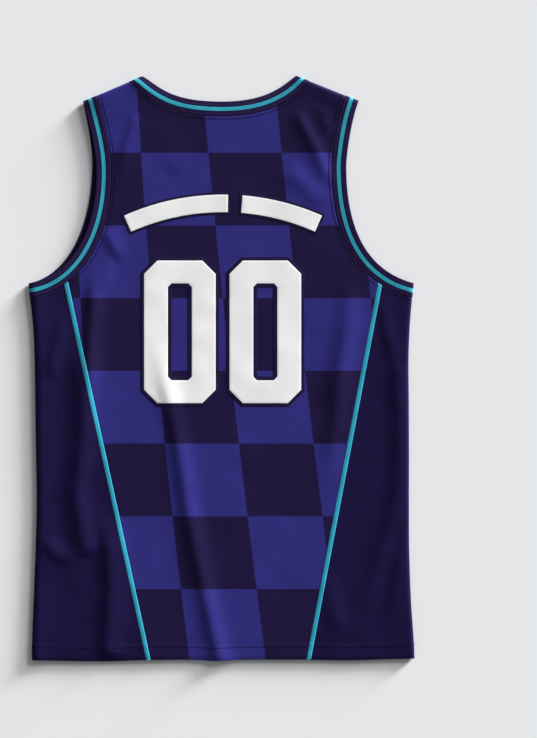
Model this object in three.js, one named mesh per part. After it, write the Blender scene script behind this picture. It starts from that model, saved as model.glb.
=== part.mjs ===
// A basketball jersey laid flat on a surface, back side up, with its front underneath.
// Millimetres. +X runs to the right, +Y from the hem to the neck and +Z up off the surface.
// The origin lies on the surface, under the middle of the jersey.
import * as THREE from "three";

// Cloth and trims
const clothThickness = 1.4;
const hemThickness = 2.2;
const hemDepth = 22;
const hemStep = 2;
const bandThickness = 2;
const bandWidth = 20;
const pipingThickness = 2;
const pipingWidth = 6.6;
const seamGap = 0.3;

// The outline, as distances from the middle line and from the middle of the body length
const hemY = -400;
const underarmY = 117;

// Half widths down the two sides
const sideRows = [
  { y: hemY, left: 260, right: 263.4 },
  { y: -372, left: 260, right: 262.6 },
  { y: -318, left: 258, right: 259 },
  { y: -250, left: 255.4, right: 256.6 },
  { y: -181, left: 253.8, right: 256.2 },
  { y: -112, left: 254.9, right: 256.3 },
  { y: -45, left: 255.8, right: 256 },
  { y: 11, left: 256.7, right: 255.6 },
  { y: 52, left: 258.3, right: 257 },
  { y: 80, left: 261, right: 259 },
  { y: 100, left: 263.5, right: 260.8 },
  { y: underarmY, left: 264.5, right: 262.6 },
];

// How far the hem strays from a straight line, fading out over hemReach
const hemReach = 60;
const hemRows = [
  { x: -264, up: -0.9 },
  { x: -235, up: -1.4 },
  { x: -162, up: -2.3 },
  { x: -105, up: -0.7 },
  { x: -70, up: -0.2 },
  { x: -35, up: -0.4 },
  { x: -8, up: -1.9 },
  { x: 22, up: -0.3 },
  { x: 60, up: 0 },
  { x: 110, up: 0 },
  { x: 165, up: -1 },
  { x: 200, up: -0.4 },
  { x: 225, up: 0.6 },
  { x: 264, up: 1.4 },
];

// The two layers. The back lies on the front and has more rows and columns, for its folds.
const back = {
  name: "back",
  bulge: 1,
  neckY: 365.7,
  strapColumns: 3,
  neckColumns: 16,
  underarmColumns: 7,
  straightRows: 19,
};
const front = {
  name: "front",
  bulge: -1,
  neckY: 279.5,
  strapColumns: 2,
  neckColumns: 12,
  underarmColumns: 4,
  straightRows: 4,
};

// The two sides, laid out a little differently. The armhole holds the points of two smooth arcs,
// from the underarm to the shoulder, and the front's is moved from the back's by frontShift. Each
// layer has two handles of its neck curve, and its piping's distances from the middle line at the
// hem and at pipingTopY.
const sides = [
  {
    name: "left",
    sign: -1,
    turnReach: 9,
    frontShift: [6.6, 3],
    neckTip: [108.7, 400.6],
    armhole: [[264.5, underarmY], [217.9, 123.6], [172.5, 173.5], [172.5, 269.2],
      [172.5, 301.5], [181.9, 332.7], [190.6, 365.6]],
    back: { neck: [[73.7, 365.7], [86.1, 387.8]], piping: [101, 213.3] },
    front: { neck: [[56, 279.5], [84, 322]], piping: [110, 214] },
  },
  {
    name: "right",
    sign: 1,
    turnReach: 5,
    frontShift: [-2, -1],
    neckTip: [101, 401.2],
    armhole: [[262.6, underarmY], [218.4, 129.3], [170.7, 164.5], [170.7, 278.3],
      [170.7, 287.5], [175.9, 335.8], [187.6, 366.6]],
    back: { neck: [[60.9, 365.7], [83, 386.6]], piping: [118.7, 216.2] },
    front: { neck: [[54, 279.5], [79, 322]], piping: [110, 214] },
  },
];
const pipingTopY = 113;

// How the layers lie: the upper cloth's middle height, and how it turns at a folded edge. The
// turn's columns lie at shares of its reach.
const restHeight = 4.4;
const edgeSwell = 1.2;
const swellReach = 22;
const shoulderReach = 4.5;
const turnShares = [0.12, 0.44, 1];

// The upper cloth's middle height at the openings' edges, and how far in it is felt
const neckEdgeHeight = 3.6;
const armholeEdgeHeight = 5.2;
const edgeReach = 13;

// The largest folds of the upper cloth: a crest's height, how wide it is on its west and east
// sides, the shares of its length in which it rises and falls, and its line from the top down
const folds = [
  { name: "centre", height: 4.4, west: 12, east: 18, rise: 0.4, fall: 0,
    line: [[-99, 69], [-67, -78], [-44, -208], [-14, -360], [-5, -402]] },
  { name: "left side", height: 4.2, west: 19, east: 18, rise: 0.4, fall: 0.25,
    line: [[-195, 25], [-195, -71], [-200.5, -163], [-178, -262]] },
  { name: "low left", height: 2.8, west: 11, east: 17, rise: 0.35, fall: 0.3,
    line: [[-159, -190], [-153, -287], [-159, -372]] },
  { name: "low left corner", height: 1.1, west: 11, east: 12, rise: 0.4, fall: 0.4,
    line: [[-240, -246], [-216, -262], [-192, -292]] },
  { name: "left edge", height: 1.2, west: 10, east: 11, rise: 0.35, fall: 0.35,
    line: [[-217, 80], [-240, -20]] },
  { name: "left underarm", height: 2.2, west: 9, east: 10, rise: 0.25, fall: 0.4,
    line: [[-174, 158], [-182, 80], [-178, 4]] },
  { name: "left armhole", height: 1.2, west: 8, east: 9, rise: 0.35, fall: 0.4,
    line: [[-151, 178], [-162, 100]] },
  { name: "right shoulder", height: 2.2, west: 11, east: 12, rise: 0.35, fall: 0.4,
    line: [[106, 366], [129, 307], [149, 252]] },
  { name: "right shoulder blade", height: 1.5, west: 14, east: 14, rise: 0.35, fall: 0.35,
    line: [[78, 281], [107, 253], [150, 222]] },
  { name: "left shoulder", height: 1.2, west: 10, east: 10, rise: 0.35, fall: 0.35,
    line: [[-114, 356], [-136, 290], [-140, 258]] },
  { name: "left shoulder blade", height: 0.6, west: 12, east: 12, rise: 0.4, fall: 0.4,
    line: [[-88, 293], [-42, 262]] },
  { name: "right chest", height: 2.9, west: 13, east: 15, rise: 0.2, fall: 0.3,
    line: [[176, 112], [159, -16], [152, -150]] },
  { name: "right side", height: 2.3, west: 11, east: 12, rise: 0.3, fall: 0.3,
    line: [[239, -10], [246, -116], [236, -197], [192, -345]] },
  { name: "low right edge", height: 1.3, west: 10, east: 11, rise: 0.35, fall: 0.35,
    line: [[252, -212], [230, -360]] },
  { name: "right edge", height: 1.2, west: 9, east: 10, rise: 0.35, fall: 0.35,
    line: [[225, 104], [246, 26]] },
  { name: "low right", height: 0.8, west: 12, east: 12, rise: 0.4, fall: 0.4,
    line: [[144, -292], [161, -356]] },
];
const foldSamples = 20;

// How finely the other pieces are divided
const armholeRows = 18;
const sideStraightRows = 20;
const bandInsets = [0, 4, 11, bandWidth];

const clamp = (value, low, high) => Math.min(Math.max(value, low), high);
const mix = THREE.MathUtils.lerp;
const vector = ([x, y]) => new THREE.Vector2(x, y);

function smooth(value) {
  const t = clamp(value, 0, 1);
  return t * t * (3 - 2 * t);
}

function range(count, from = 0, to = 1) {
  return Array.from({ length: count + 1 }, (_, i) => mix(from, to, i / count));
}

// A smooth curve through a column of a table whose rows are in the order of key
function readTable(rows, key, column, value) {
  const at = clamp(value, rows[0][key], rows[rows.length - 1][key]);
  let i = 0;
  while (i < rows.length - 2 && at > rows[i + 1][key]) i += 1;
  const slope = (k) => {
    const a = rows[Math.max(k - 1, 0)];
    const b = rows[Math.min(k + 1, rows.length - 1)];
    return (b[column] - a[column]) / (b[key] - a[key]);
  };
  const span = rows[i + 1][key] - rows[i][key];
  const t = (at - rows[i][key]) / span;
  const low = rows[i][column] * (2 * t ** 3 - 3 * t ** 2 + 1);
  const high = rows[i + 1][column] * (3 * t ** 2 - 2 * t ** 3);
  const bend = slope(i) * (t ** 3 - 2 * t ** 2 + t) + slope(i + 1) * (t ** 3 - t ** 2);
  return low + high + bend * span;
}

// Half widths in plan, positive on both sides
const sideHalf = (side, y) => readTable(sideRows, "y", side.name, y);

function pipingHalf(side, layer, y) {
  const [hem, top] = side[layer.name].piping;
  return mix(hem, top, (y - hemY) / (pipingTopY - hemY));
}

// How far the hem's stray lifts a point above its own row
function hemLift(point) {
  const stray = readTable(hemRows, "x", "up", point.x);
  return stray * (1 - smooth((point.y - hemY) / hemReach));
}

// Each side's curves: the armhole's opening edge from the underarm to the shoulder, and the neck's
// on each layer from the middle to the neck tip
for (const side of sides) {
  const arcs = side.armhole.map(vector);
  const tip = vector(side.neckTip);
  side.shoulderIn = tip.clone().sub(arcs[arcs.length - 1]).normalize();
  side.shoulderOut = new THREE.Vector2(side.shoulderIn.y, -side.shoulderIn.x);
  side.armholeEdge = new THREE.CurvePath();
  side.armholeEdge.add(new THREE.CubicBezierCurve(...arcs.slice(0, 4)));
  side.armholeEdge.add(new THREE.CubicBezierCurve(...arcs.slice(3)));
  side.armholeLength = side.armholeEdge.getLength();
  for (const layer of [back, front]) {
    const handles = side[layer.name].neck.map(vector);
    const middle = new THREE.Vector2(0, layer.neckY);
    side[layer.name].neckEdge = new THREE.CubicBezierCurve(middle, ...handles, tip);
  }
}

// The way out of the garment at the side's fold and at the shoulder's
const outFromSide = ({ sign }) => new THREE.Vector3(sign, 0, 0);
const outFromShoulder = ({ sign, shoulderOut }) => {
  return new THREE.Vector3(sign * shoulderOut.x, shoulderOut.y, 0);
};

// How far in from the nearest folded edge a point lies, and the turn it is furthest into: over
// what reach the cloth turns there, at what share of it the point lies, and the way out
function turnAt(point) {
  const half = Math.abs(point.x);
  const side = point.x < 0 ? sides[0] : sides[1];
  const fromSide = sideHalf(side, point.y) - half;
  const [tipX, tipY] = side.neckTip;
  const fromShoulder = new THREE.Vector2(tipX - half, tipY - point.y).dot(side.shoulderOut);
  const inset = Math.min(fromSide, fromShoulder);
  const sideShare = fromSide / side.turnReach;
  const shoulderShare = fromShoulder / shoulderReach;
  if (sideShare < shoulderShare) {
    return { inset, reach: side.turnReach, share: sideShare, out: outFromSide(side) };
  }
  return { inset, reach: shoulderReach, share: shoulderShare, out: outFromShoulder(side) };
}

// Steps from an opening's edge into the cloth. Near a folded edge the step turns to run along
// that edge, so that a band is as wide there on both layers.
const turnLength = 34;

function stepIn(point, tangent, clockwise, turns, inset) {
  const sign = clockwise ? 1 : -1;
  const normal = new THREE.Vector2(tangent.y * sign, -tangent.x * sign).normalize();
  const across = normal.clone();
  let turned = 0;
  for (const turn of turns) {
    const share = 1 - smooth(turn.distance / turnLength);
    across.lerp(turn.along, share);
    turned = Math.max(turned, share);
  }
  across.normalize();
  return point.clone().addScaledVector(across, inset / mix(across.dot(normal), 1, turned));
}

function armholeEdgeAt(side, layer, share) {
  const at = clamp(share, 0, 1);
  const point = side.armholeEdge.getPoint(at);
  if (layer === back) return point;
  return point.addScaledVector(vector(side.frontShift), Math.sin(Math.PI * at));
}

// A point of an armhole band or of its seam: share runs from the underarm to the shoulder
function armholeAt(side, layer, share, inset) {
  const nudge = 0.002;
  const before = armholeEdgeAt(side, layer, share - nudge);
  const after = armholeEdgeAt(side, layer, share + nudge);
  const downTheSide = new THREE.Vector2(
    sideHalf(side, underarmY - bandWidth) - sideHalf(side, underarmY),
    -bandWidth,
  ).normalize();
  const turns = [
    { along: downTheSide, distance: share * side.armholeLength },
    { along: side.shoulderIn, distance: (1 - share) * side.armholeLength },
  ];
  const point = stepIn(armholeEdgeAt(side, layer, share), after.sub(before), false, turns, inset);
  point.x *= side.sign;
  return point;
}

// A point of the neck band or of its seam: share runs from the left neck tip to the right one
function neckAt(layer, share, inset) {
  const side = share < 0.5 ? sides[0] : sides[1];
  const edge = side[layer.name].neckEdge;
  const fromMiddle = Math.abs(2 * share - 1);
  const distance = (1 - fromMiddle) * edge.getLength();
  const turns = [{ along: side.shoulderIn.clone().negate(), distance }];
  const tangent = edge.getTangentAt(fromMiddle);
  const point = stepIn(edge.getPointAt(fromMiddle), tangent, true, turns, inset);
  point.x *= side.sign;
  return point;
}

const seamInset = bandWidth + seamGap;
const pipingClear = pipingWidth / 2 + seamGap;

// The share along an armhole at which its seam meets a line beside the piping
function seamShareAt(side, layer, beside) {
  let low = 0;
  let high = 0.6;
  for (let i = 0; i < 40; i += 1) {
    const middle = (low + high) / 2;
    const point = armholeAt(side, layer, middle, seamInset);
    if (Math.abs(point.x) > pipingHalf(side, layer, point.y) + beside) low = middle;
    else high = middle;
  }
  return low;
}

const turnInsets = (reach) => turnShares.map((share) => share * reach);

// Shares along an opening, closer together beside a fold. A band and the panel beside it use the
// same ones, so that both sides of their seam run alike.
function underarmShares(side, layer) {
  const [near, middle, far] = turnInsets(side.turnReach / side.armholeLength);
  const outside = seamShareAt(side, layer, pipingClear);
  return [0, near, middle, ...range(layer.underarmColumns, far, outside)];
}

function shoulderShares(side, layer) {
  const [near, middle, far] = turnInsets(shoulderReach / side.armholeLength);
  const inside = seamShareAt(side, layer, -pipingClear);
  return [...range(armholeRows, inside, 1 - far), 1 - middle, 1 - near, 1];
}

function neckShares(layer) {
  const length = 2 * sides[0][layer.name].neckEdge.getLength();
  const [near, middle, far] = turnInsets(shoulderReach / length);
  return [0, near, middle, ...range(layer.neckColumns, far, 1 - far), 1 - middle, 1 - near, 1];
}

// The folds' lines as polylines
for (const fold of folds) {
  const curve = new THREE.CatmullRomCurve3(
    fold.line.map(([x, y]) => new THREE.Vector3(x, y, 0)),
    false,
    "catmullrom",
  );
  fold.points = curve.getPoints(foldSamples);
}

function foldHeight(fold, point) {
  const here = new THREE.Vector3(point.x, point.y, 0);
  const onLine = new THREE.Vector3();
  let nearest = { distance: Infinity };
  for (let i = 0; i < foldSamples; i += 1) {
    const piece = new THREE.Line3(fold.points[i], fold.points[i + 1]);
    const t = piece.closestPointToPointParameter(here, true);
    piece.at(t, onLine);
    const distance = onLine.distanceTo(here);
    if (distance < nearest.distance) {
      nearest = { distance, share: (i + t) / foldSamples, east: here.x > onLine.x };
    }
  }
  const width = nearest.east ? fold.east : fold.west;
  const risen = fold.rise ? smooth(nearest.share / fold.rise) : 1;
  const fallen = fold.fall ? smooth((1 - nearest.share) / fold.fall) : 1;
  return fold.height * risen * fallen * Math.exp(-((nearest.distance / width) ** 2));
}

// The middle height of the upper cloth
function upperHeight(point) {
  const inset = Math.max(turnAt(point).inset, 0);
  const swell = edgeSwell * Math.exp(-((inset / swellReach) ** 2));
  return restHeight + swell + folds.reduce((sum, fold) => sum + foldHeight(fold, point), 0);
}

// Places a point of cloth on its layer. Beside a folded edge the cloth follows half an ellipse
// round to the other layer, and facing is square to it. edgeShare takes the upper layer that far
// to edgeHeight, beside an opening. offApex puts a point that far above the fold's apex instead.
function place(point, thickness, layer, { edgeHeight = 0, edgeShare = 0, offApex = null } = {}) {
  const low = thickness / 2;
  const high = mix(upperHeight(point), edgeHeight, edgeShare);
  const middle = (high + low) / 2;
  const half = (high - low) / 2;
  const { reach, share, out } = turnAt(point);
  if (offApex !== null) {
    return { point: new THREE.Vector3(point.x, point.y, middle + offApex), thickness, facing: out };
  }
  const outwards = 1 - clamp(share, 0, 1);
  const rise = layer.bulge * Math.sqrt(1 - outwards ** 2);
  const placed = new THREE.Vector3(point.x, point.y, middle + rise * half);
  if (outwards === 0) return { point: placed, thickness };
  const facing = out.multiplyScalar(outwards / reach).setZ(rise / half).normalize();
  return { point: placed, thickness, facing };
}

// Thickness of body cloth, with the hem turned up
function bodyThickness(point) {
  const aboveHem = point.y - hemY - hemLift(point) - hemDepth;
  return mix(hemThickness, clothThickness, clamp(aboveHem / hemStep, 0, 1));
}

// Makes a closed wall from a grid of its middle surface, in columns of placed points. Where a
// point has no facing of its own, its neighbours in the grid give it.
function wall(columns, joined = false) {
  const width = columns.length;
  const height = columns[0].length;
  const around = (i) => (joined ? (i + width) % width : clamp(i, 0, width - 1));
  const positions = [];
  for (const surface of [1, -1]) {
    for (let i = 0; i < width; i += 1) {
      for (let j = 0; j < height; j += 1) {
        const { point, thickness, facing } = columns[i][j];
        const across = columns[around(i + 1)][j].point.clone().sub(columns[around(i - 1)][j].point);
        const above = columns[i][Math.min(j + 1, height - 1)].point;
        const along = above.clone().sub(columns[i][Math.max(j - 1, 0)].point);
        const normal = across.cross(along).normalize();
        if (facing) normal.copy(facing.clone().multiplyScalar(Math.sign(facing.dot(normal))));
        positions.push(...point.clone().addScaledVector(normal, (surface * thickness) / 2));
      }
    }
  }
  const outer = (i, j) => around(i) * height + j;
  const inner = (i, j) => outer(i, j) + width * height;
  const faces = [];
  const quad = (a, b, c, d) => faces.push(a, b, c, a, c, d);
  const last = height - 1;
  const spans = joined ? width : width - 1;
  for (let i = 0; i < spans; i += 1) {
    for (let j = 0; j < last; j += 1) {
      quad(outer(i, j), outer(i + 1, j), outer(i + 1, j + 1), outer(i, j + 1));
      quad(inner(i, j), inner(i, j + 1), inner(i + 1, j + 1), inner(i + 1, j));
    }
    quad(outer(i + 1, 0), outer(i, 0), inner(i, 0), inner(i + 1, 0));
    quad(outer(i, last), outer(i + 1, last), inner(i + 1, last), inner(i, last));
  }
  if (!joined) {
    const end = width - 1;
    for (let j = 0; j < last; j += 1) {
      quad(outer(0, j), outer(0, j + 1), inner(0, j + 1), inner(0, j));
      quad(outer(end, j + 1), outer(end, j), inner(end, j), inner(end, j + 1));
    }
  }
  const geometry = new THREE.BufferGeometry();
  geometry.setAttribute("position", new THREE.Float32BufferAttribute(positions, 3));
  geometry.setIndex(faces);
  geometry.computeVertexNormals();
  return geometry;
}

// Rows from the hem up to a seam: the hem's own rows, then even ones
function rowsAbove(top, count) {
  const hemRows = [hemY, hemY + hemDepth / 2, hemY + hemDepth, hemY + hemDepth + hemStep];
  return [...hemRows, ...range(count, hemY + hemDepth + hemStep, top).slice(1)];
}

// The piece between the two pipings: the back panel on the upper layer, the front panel below.
// Its rows follow the piping and then the armholes, and its top follows the shoulders and neck.
const strapShare = 0.125;

function centrePanel(layer) {
  const [left, right] = sides.map((side) => {
    const seam = shoulderShares(side, layer).map((share) => armholeAt(side, layer, share, seamInset));
    const straight = rowsAbove(seam[0].y, layer.straightRows).slice(0, -1).map((y) => {
      return new THREE.Vector2(side.sign * (pipingHalf(side, layer, y) - pipingClear), y);
    });
    return [...straight, ...seam];
  });
  const last = left.length - 1;
  const straightTop = left[last - shoulderShares(sides[0], layer).length + 1].y;
  const neck = neckShares(layer).map((share) => neckAt(layer, share, seamInset));
  const neckEnd = neck[neck.length - 1];
  const { strapColumns } = layer;
  const top = [
    ...range(strapColumns).map((t) => left[last].clone().lerp(neck[0], t)),
    ...neck.slice(1, -1),
    ...range(strapColumns).map((t) => neckEnd.clone().lerp(right[last], t)),
  ];
  const shares = [
    ...range(strapColumns, 0, strapShare),
    ...range(neck.length - 1, strapShare, 1 - strapShare).slice(1, -1),
    ...range(strapColumns, 1 - strapShare, 1),
  ];
  const columns = shares.map((share, i) => {
    const topChord = left[last].clone().lerp(right[last], share);
    const inStrap = Math.min(i, shares.length - 1 - i) <= strapColumns;
    return left.map((start, j) => {
      const point = start.clone().lerp(right[j], share);
      const pull = clamp((start.y - straightTop) / (left[last].y - straightTop), 0, 1);
      point.addScaledVector(top[i].clone().sub(topChord), pull);
      point.y += hemLift(point);
      const offApex = j === last && inStrap ? (layer.bulge * seamGap) / 2 : null;
      return place(point, bodyThickness(point), layer, { offApex });
    });
  });
  return wall(columns);
}

// A side panel: from the back piping out to the side, round its fold and back underneath
function sidePanel(side) {
  const sideTop = armholeAt(side, back, 0, seamInset);
  const outerRows = rowsAbove(sideTop.y, sideStraightRows);
  const column = (layer, share, turnInset, inwards) => {
    const shares = underarmShares(side, layer);
    const corner = armholeAt(side, layer, shares[shares.length - 1], seamInset);
    const innerRows = rowsAbove(corner.y, sideStraightRows);
    const seam = armholeAt(side, layer, share, seamInset);
    const seamWidth = Math.abs(sideTop.x - corner.x);
    const seamAlong = 1 - mix(turnInset, seamWidth, inwards) / seamWidth;
    const pulled = seam.sub(corner.clone().lerp(sideTop, seamAlong));
    return outerRows.map((outerY, j) => {
      const innerX = side.sign * (pipingHalf(side, layer, innerRows[j]) + pipingClear);
      const outerX = side.sign * sideHalf(side, outerY);
      const width = Math.abs(outerX - innerX);
      const along = 1 - mix(turnInset, width, inwards) / width;
      const point = new THREE.Vector2(innerX, innerRows[j]).lerp(new THREE.Vector2(outerX, outerY), along);
      point.addScaledVector(pulled, smooth((outerY - hemY) / (sideTop.y - hemY)));
      point.y += hemLift(point);
      return place(point, bodyThickness(point), layer, { offApex: turnInset === 0 ? 0 : null });
    });
  };
  const half = (layer) => {
    const [, near, middle, ...even] = underarmShares(side, layer);
    const [nearInset, middleInset, reach] = turnInsets(side.turnReach);
    const spread = even.map((share, i) => column(layer, share, reach, i / (even.length - 1)));
    return [column(layer, near, nearInset, 0), column(layer, middle, middleInset, 0), ...spread];
  };
  return wall([...half(back).reverse(), column(back, 0, 0, 0), ...half(front)]);
}

// A piping strip in the seam beside a side panel
function piping(side, layer) {
  const columns = [-pipingWidth / 2, pipingWidth / 2].map((beside) => {
    const top = armholeAt(side, layer, seamShareAt(side, layer, beside), seamInset).y;
    return rowsAbove(top, layer.straightRows).map((y) => {
      const point = new THREE.Vector2(side.sign * (pipingHalf(side, layer, y) + beside), y);
      point.y += hemLift(point);
      return place(point, pipingThickness + bodyThickness(point) - clothThickness, layer);
    });
  });
  return wall(columns);
}

// A band round an opening: a closed strip of rib that turns where the garment is folded
function band(sharesOf, pointAt, edgeHeight) {
  const turned = (share) => ({ layer: back, share, offApex: 0 });
  const open = (layer) => sharesOf(layer).slice(1, -1).map((share) => ({ layer, share }));
  const stations = [turned(0), ...open(back), turned(1), ...open(front).reverse()];
  const columns = stations.map(({ layer, share, offApex }) => {
    return bandInsets.map((inset) => {
      const lie = { edgeHeight, edgeShare: 1 - smooth(inset / edgeReach), offApex };
      return place(pointAt(layer, share, inset), bandThickness, layer, lie);
    });
  });
  return wall(columns, true);
}

function armholeBand(side) {
  const shares = (layer) => [...underarmShares(side, layer), ...shoulderShares(side, layer)];
  const pointAt = (layer, share, inset) => armholeAt(side, layer, share, inset);
  return band(shares, pointAt, armholeEdgeHeight);
}

// Colours of the dyed cloth and trims
const bodyCloth = { color: 0x2b2670, roughness: 0.55, metalness: 0 };
const sideCloth = { color: 0x1b1440, roughness: 0.55, metalness: 0 };
const ribKnit = { color: 0x25193f, roughness: 0.7, metalness: 0 };
const pipingTape = { color: 0x2f93b0, roughness: 0.5, metalness: 0 };

const jersey = new THREE.Group();

function add(name, geometry, cloth) {
  const mesh = new THREE.Mesh(geometry, new THREE.MeshStandardMaterial(cloth));
  mesh.name = name;
  jersey.add(mesh);
}

add("back_panel", centrePanel(back), bodyCloth);
add("front_panel", centrePanel(front), bodyCloth);
add("neck_band", band(neckShares, neckAt, neckEdgeHeight), ribKnit);
for (const side of sides) {
  add(`side_panel_${side.name}`, sidePanel(side), sideCloth);
  add(`armhole_band_${side.name}`, armholeBand(side), ribKnit);
  add(`piping_back_${side.name}`, piping(side, back), pipingTape);
  add(`piping_front_${side.name}`, piping(side, front), pipingTape);
}

export default jersey;
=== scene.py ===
import math

import bpy
import numpy as np
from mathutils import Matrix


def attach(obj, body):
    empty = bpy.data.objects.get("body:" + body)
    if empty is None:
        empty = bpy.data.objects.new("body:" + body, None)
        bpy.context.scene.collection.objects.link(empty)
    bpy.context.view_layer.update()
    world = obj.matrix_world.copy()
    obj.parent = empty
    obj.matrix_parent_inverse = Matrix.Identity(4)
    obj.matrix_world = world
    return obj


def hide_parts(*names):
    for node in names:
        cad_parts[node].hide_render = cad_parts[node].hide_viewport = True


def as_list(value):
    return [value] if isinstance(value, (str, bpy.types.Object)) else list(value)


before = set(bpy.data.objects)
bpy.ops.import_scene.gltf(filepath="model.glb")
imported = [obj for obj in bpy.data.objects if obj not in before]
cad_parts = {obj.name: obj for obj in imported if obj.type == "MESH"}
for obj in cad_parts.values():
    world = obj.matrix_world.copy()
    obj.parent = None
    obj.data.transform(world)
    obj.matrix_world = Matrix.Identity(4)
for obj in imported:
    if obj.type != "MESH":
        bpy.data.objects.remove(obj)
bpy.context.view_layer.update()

mm = 0.001  # shapes are worked out in millimetres and made in metres

# The cut of the garment, laid flat. +Y runs to the neck, +Z off the surface.
cut = {
    "hemY": -400.0,
    "underarmY": 117.0,
    "bandWidth": 20.0,
    "pipingWidth": 6.6,
    "pipingTopY": 113.0,
    "seamGap": 0.06,
    "hemDepth": 22.0,
    "hemReach": 60.0,
}
# half widths down the two sides
sideRows = {
    "y": (-400, -372, -318, -250, -181, -112, -45, 11, 52, 80, 100, 117),
    "left": (260.0, 260.0, 258.0, 255.4, 253.8, 254.9, 255.8, 256.7, 258.3, 261.0, 263.5, 264.5),
    "right": (263.4, 262.6, 259.0, 256.6, 256.2, 256.3, 256.0, 255.6, 257.0, 259.0, 260.8, 262.6),
}
# how far the hem strays from a straight line
hemRows = {
    "x": (-264, -235, -162, -105, -70, -35, -8, 22, 60, 110, 165, 200, 225, 264),
    "up": (-0.9, -1.4, -2.3, -0.7, -0.2, -0.4, -1.9, -0.3, 0.0, 0.0, -1.0, -0.4, 0.6, 1.4),
}
# Each side's curves as points of smooth arcs: the armhole from the underarm to the shoulder, and
# the handles of each layer's neck. The front's armhole is moved from the back's by frontShift,
# armholeEdge is the upper cloth's middle height at the armhole, and swell is how far it stands
# over restHeight beside the folded edge.
sides = {
    "left": {
        "sign": -1, "frontShift": (6.6, 3.0), "turnReach": 9.0, "neckTip": (108.7, 400.6),
        "armholeEdge": 5.2, "swell": 1.8, "swellReach": 26.0,
        "armhole": ((264.5, 117), (217.9, 123.6), (172.5, 173.5), (172.5, 269.2),
                    (172.5, 301.5), (181.9, 332.7), (190.6, 365.6)),
        "neck": {"back": ((73.7, 366.2), (86.1, 388.0)), "front": ((56, 279.5), (84, 322))},
        "piping": {"back": (101.0, 213.3), "front": (110.0, 214.0)},
    },
    "right": {
        "sign": 1, "frontShift": (-2.0, -1.0), "turnReach": 5.0, "neckTip": (101.0, 401.2),
        "armholeEdge": 4.3, "swell": 1.2, "swellReach": 22.0,
        "armhole": ((262.6, 117), (218.4, 129.3), (170.7, 164.5), (170.7, 278.3),
                    (170.7, 287.5), (175.9, 335.8), (187.6, 366.6)),
        "neck": {"back": ((60.9, 366.2), (83.0, 386.8)), "front": ((54, 279.5), (79, 322))},
        "piping": {"back": (118.7, 216.2), "front": (110.0, 214.0)},
    },
}
layers = {"back": {"bulge": 1, "neckY": 366.2}, "front": {"bulge": -1, "neckY": 279.5}}

# How thick the cloth is and how the two layers lie on each other
drape = {
    "cloth": 1.0,
    "hem": 1.7,
    "band": 1.7,
    "piping": 1.6,
    "restHeight": 4.4,
    "shoulderReach": 4.5,
    "neckEdge": 3.2,  # the upper cloth's middle height at the neck
    "edgeReach": 13.0,  # how far in from an opening its height is felt
    "hemDroop": 0.6,
    "hemDroopReach": 3.5,
    "ripple": 0.0042,  # height of the small waves as a share of their length
    "rippleSeed": 7,
}

# Crests of the folds, from the top down: height, width on the west and east sides, and the
# shares of the length over which each rises and falls
foldRows = (
    ("centre", 2.9, 11, 14, 0.25, 0.0,
     ((-99, 69), (-65, -78), (-44.5, -208), (-27.5, -290), (-12.5, -360), (-2.5, -402))),
    ("left side", 3.3, 14, 15, 0.22, 0.13,
     ((-199, 45), (-196, 11), (-190, -30), (-189, -60), (-193.5, -126), (-199, -160),
      (-197, -195), (-188, -245), (-184, -262))),
    ("low left", 3.2, 11, 19, 0.2, 0.1, ((-160, -195), (-153, -287), (-156, -350), (-158, -402))),
    ("low left corner", 2.0, 10, 13, 0.2, 0.5,
     ((-244.5, -225), (-231, -250), (-217, -259), (-200, -261), (-184, -263))),
    ("left edge", 1.8, 10, 11, 0.35, 0.35, ((-215, 80), (-229, 20), (-238, -20))),
    ("left underarm", 3.0, 9, 13, 0.25, 0.3,
     ((-172, 158), (-178, 80), (-181, 39), (-180, 0), (-176, -40))),
    ("left armhole", 1.0, 8, 9, 0.35, 0.4, ((-155, 160), (-163, 100))),
    ("left armhole crease", 1.7, 7, 11, 0.3, 0.4, ((-160, 192), (-150, 169), (-132, 140))),
    ("right shoulder", 2.2, 10, 8, 0.3, 0.4,
     ((98, 358), (106, 343), (115, 326), (128, 302), (143, 265), (150, 250))),
    ("right shoulder edge", 1.0, 7, 8, 0.3, 0.4, ((133, 364), (140, 342), (149, 315))),
    ("right shoulder blade", 1.5, 14, 14, 0.35, 0.35, ((84, 279), (112, 252), (154, 220))),
    ("left shoulder", 1.4, 7, 15, 0.35, 0.4, ((-116, 352), (-122, 334), (-134, 293), (-141, 250))),
    ("left shoulder blade", 0.6, 12, 12, 0.4, 0.4, ((-88, 293), (-42, 262))),
    ("right chest", 2.8, 13, 15, 0.3, 0.55,
     ((175, 125), (174, 107), (171, 52), (164, 11), (158, -44), (154.5, -85), (149, -126),
      (143, -170), (138, -215))),
    ("right side", 1.6, 12, 12, 0.1, 0.3,
     ((241, 10), (242, -30), (243, -116), (236, -197), (207, -291), (197, -350))),
    ("low right edge", 1.0, 10, 11, 0.35, 0.35, ((254, -212), (240, -300), (226, -375))),
    ("right edge", 1.5, 9, 13, 0.3, 0.5, ((219, 104), (227, 52), (237, 11), (240, -15))),
    ("low right", 1.4, 12, 14, 0.25, 0.4, ((146, -280), (153, -335), (164, -375))),
)
foldSamples = 20


def smooth(value):
    t = np.clip(value, 0, 1)
    return t * t * (3 - 2 * t)


def mix(a, b, t):
    return a + (b - a) * t


def unit(vectors):
    return vectors / np.maximum(np.linalg.norm(vectors, axis=-1, keepdims=True), 1e-9)


def spread(count, start=0.0, end=1.0):
    return np.linspace(start, end, count + 1)


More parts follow.
